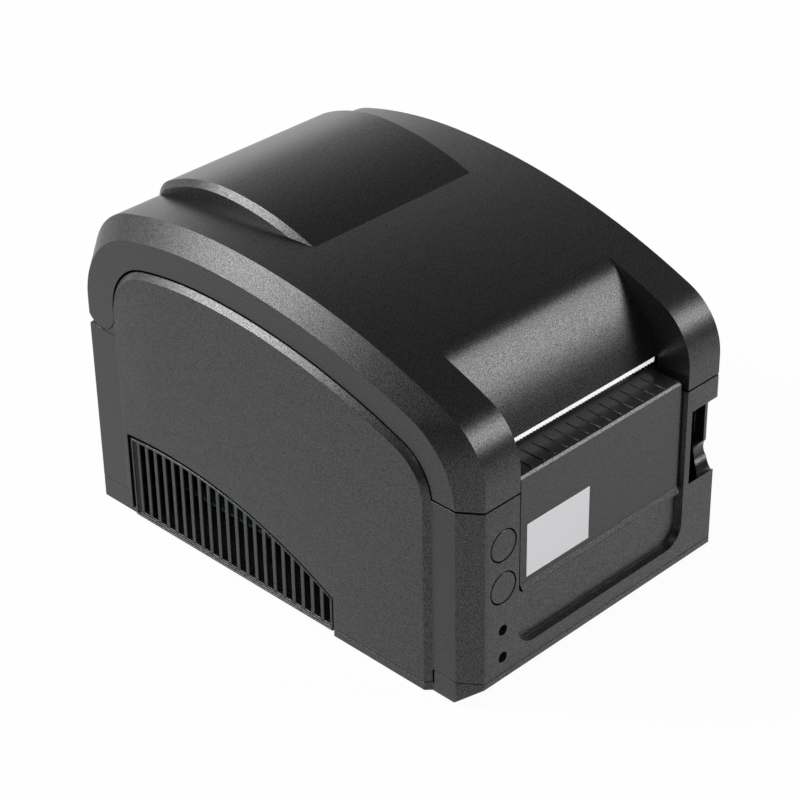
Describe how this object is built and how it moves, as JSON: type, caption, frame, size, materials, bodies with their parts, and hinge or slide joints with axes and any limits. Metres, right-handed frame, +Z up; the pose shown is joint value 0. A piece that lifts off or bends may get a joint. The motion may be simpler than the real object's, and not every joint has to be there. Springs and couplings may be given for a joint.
{
  "type": "thermal label printer",
  "caption": "Compact desktop thermal label printer: a crowned hinged cover over a roll bay, a scooped label slot with tear bar, sprung print head, geared platen and sliding roll guides.",
  "frame": {"origin": "on the desk under the middle of the machine", "axes": "+Z up, the label slot faces -Y, +X to the right of someone facing the slot"},
  "size_m": [0.165, 0.235, 0.1689],
  "materials": {
    "case": "fine spark-textured black",
    "trim": "fine matt black",
    "inner": "plain dark grey",
    "label": "matt white paper",
    "rubber": "matt",
    "steel": "zinc-plated sheet",
    "bright_steel": "bright ground",
    "aluminium": "plain extruded",
    "ceramic": "glazed",
    "gear": "natural white",
    "brass": "plain",
    "board": "green lacquer",
    "chip": "black",
    "light": "smoked, unlit"
  },
  "bodies": {
    "base": {"bottom_tray": "case", "main_housing": "case", "front_cover": "case", "front_label": "label", "left_vent_grille": "trim", "right_vent_grille": "trim", "rubber_feet": "rubber", "case_screws": "steel", "paper_bin": "inner", "paper_guide": "inner", "gap_sensor": "inner", "chassis": "steel", "head_pivot_shaft": "steel", "head_springs": "steel", "feed_motor": "steel", "idler_stub": "steel", "hinge_pins": "steel", "main_board": "board", "board_chips": "chip", "usb_port": "steel", "power_jack": "inner", "power_switch": "trim", "control_board": "board", "tact_switches": "chip", "light_pipes": "light", "lever_pin": "steel", "lever_spring": "steel"},
    "cover": {"top_cover": "case", "tear_bar": "bright_steel", "platen_bracket": "steel", "platen_bushes": "brass", "bracket_screws": "steel"},
    "platen": {"platen_shaft": "steel", "platen_rubber": "rubber", "platen_gear": "gear"},
    "idler": {"idler_gear": "gear"},
    "motor_rotor": {"motor_shaft": "steel", "motor_pinion": "gear"},
    "print_head": {"head_heatsink": "aluminium", "thermal_head": "ceramic"},
    "lever": {"release_lever": "trim"},
    "button_upper": {"upper_button": "trim"},
    "button_lower": {"lower_button": "trim"},
    "rocker": {"power_rocker": "trim"},
    "guide_left": {"left_roll_guide": "inner"},
    "guide_right": {"right_roll_guide": "inner"},
    "guide_gear": {"guide_pinion": "gear"}
  },
  "joints": [
    {"name": "cover_hinge", "type": "hinge", "parent": "base", "child": "cover", "pos_m": [0, 0.1079, 0.104], "axis": [-1, 0, 0], "range_deg": [0, 90]},
    {"name": "platen_spin", "type": "hinge", "parent": "cover", "child": "platen", "pos_m": [0, -0.086, 0.11], "axis": [1, 0, 0], "continuous": true},
    {"name": "idler_spin", "type": "hinge", "parent": "base", "child": "idler", "pos_m": [0.0545, -0.086, 0.0884], "axis": [1, 0, 0], "continuous": true},
    {"name": "motor_spin", "type": "hinge", "parent": "base", "child": "motor_rotor", "pos_m": [0.0545, -0.08103, 0.06985], "axis": [1, 0, 0], "continuous": true},
    {"name": "head_pivot", "type": "hinge", "parent": "base", "child": "print_head", "pos_m": [0, -0.068, 0.0975], "axis": [1, 0, 0], "range_deg": [0, 3], "stiffness_Nm_per_rad": 5, "springref_deg": -2.86, "deforming": ["head_springs"]},
    {"name": "lever_pivot", "type": "hinge", "parent": "base", "child": "lever", "pos_m": [0.068, -0.1005, 0.089], "axis": [1, 0, 0], "range_deg": [0, 12], "stiffness_Nm_per_rad": 0.05, "springref_deg": -5.73, "deforming": ["lever_spring"]},
    {"name": "upper_button_press", "type": "slide", "parent": "base", "child": "button_upper", "axis": [0, 1, 0], "range_m": [0, 0.001], "stiffness_N_per_m": 800, "springref_m": -0.0005},
    {"name": "lower_button_press", "type": "slide", "parent": "base", "child": "button_lower", "axis": [0, 1, 0], "range_m": [0, 0.001], "stiffness_N_per_m": 800, "springref_m": -0.0005},
    {"name": "power_rocker_tip", "type": "hinge", "parent": "base", "child": "rocker", "pos_m": [-0.046, 0.1125, 0.023], "axis": [-1, 0, 0], "range_deg": [0, 16]},
    {"name": "left_guide_slide", "type": "slide", "parent": "base", "child": "guide_left", "axis": [1, 0, 0], "range_m": [0, 0.029]},
    {"name": "right_guide_slide", "type": "slide", "parent": "base", "child": "guide_right", "axis": [-1, 0, 0], "range_m": [0, 0.029]},
    {"name": "guide_pinion_turn", "type": "hinge", "parent": "base", "child": "guide_gear", "pos_m": [0, 0.036, 0.02], "axis": [0, 0, 1], "range_deg": [0, 170]}
  ],
  "couplings": [
    {"joint": "idler_spin", "follows": "platen_spin", "ratio": -0.5},
    {"joint": "motor_spin", "follows": "platen_spin", "ratio": 1.5},
    {"joint": "right_guide_slide", "follows": "left_guide_slide", "ratio": 1},
    {"joint": "guide_pinion_turn", "follows": "left_guide_slide", "rad_per_m": 100}
  ]
}
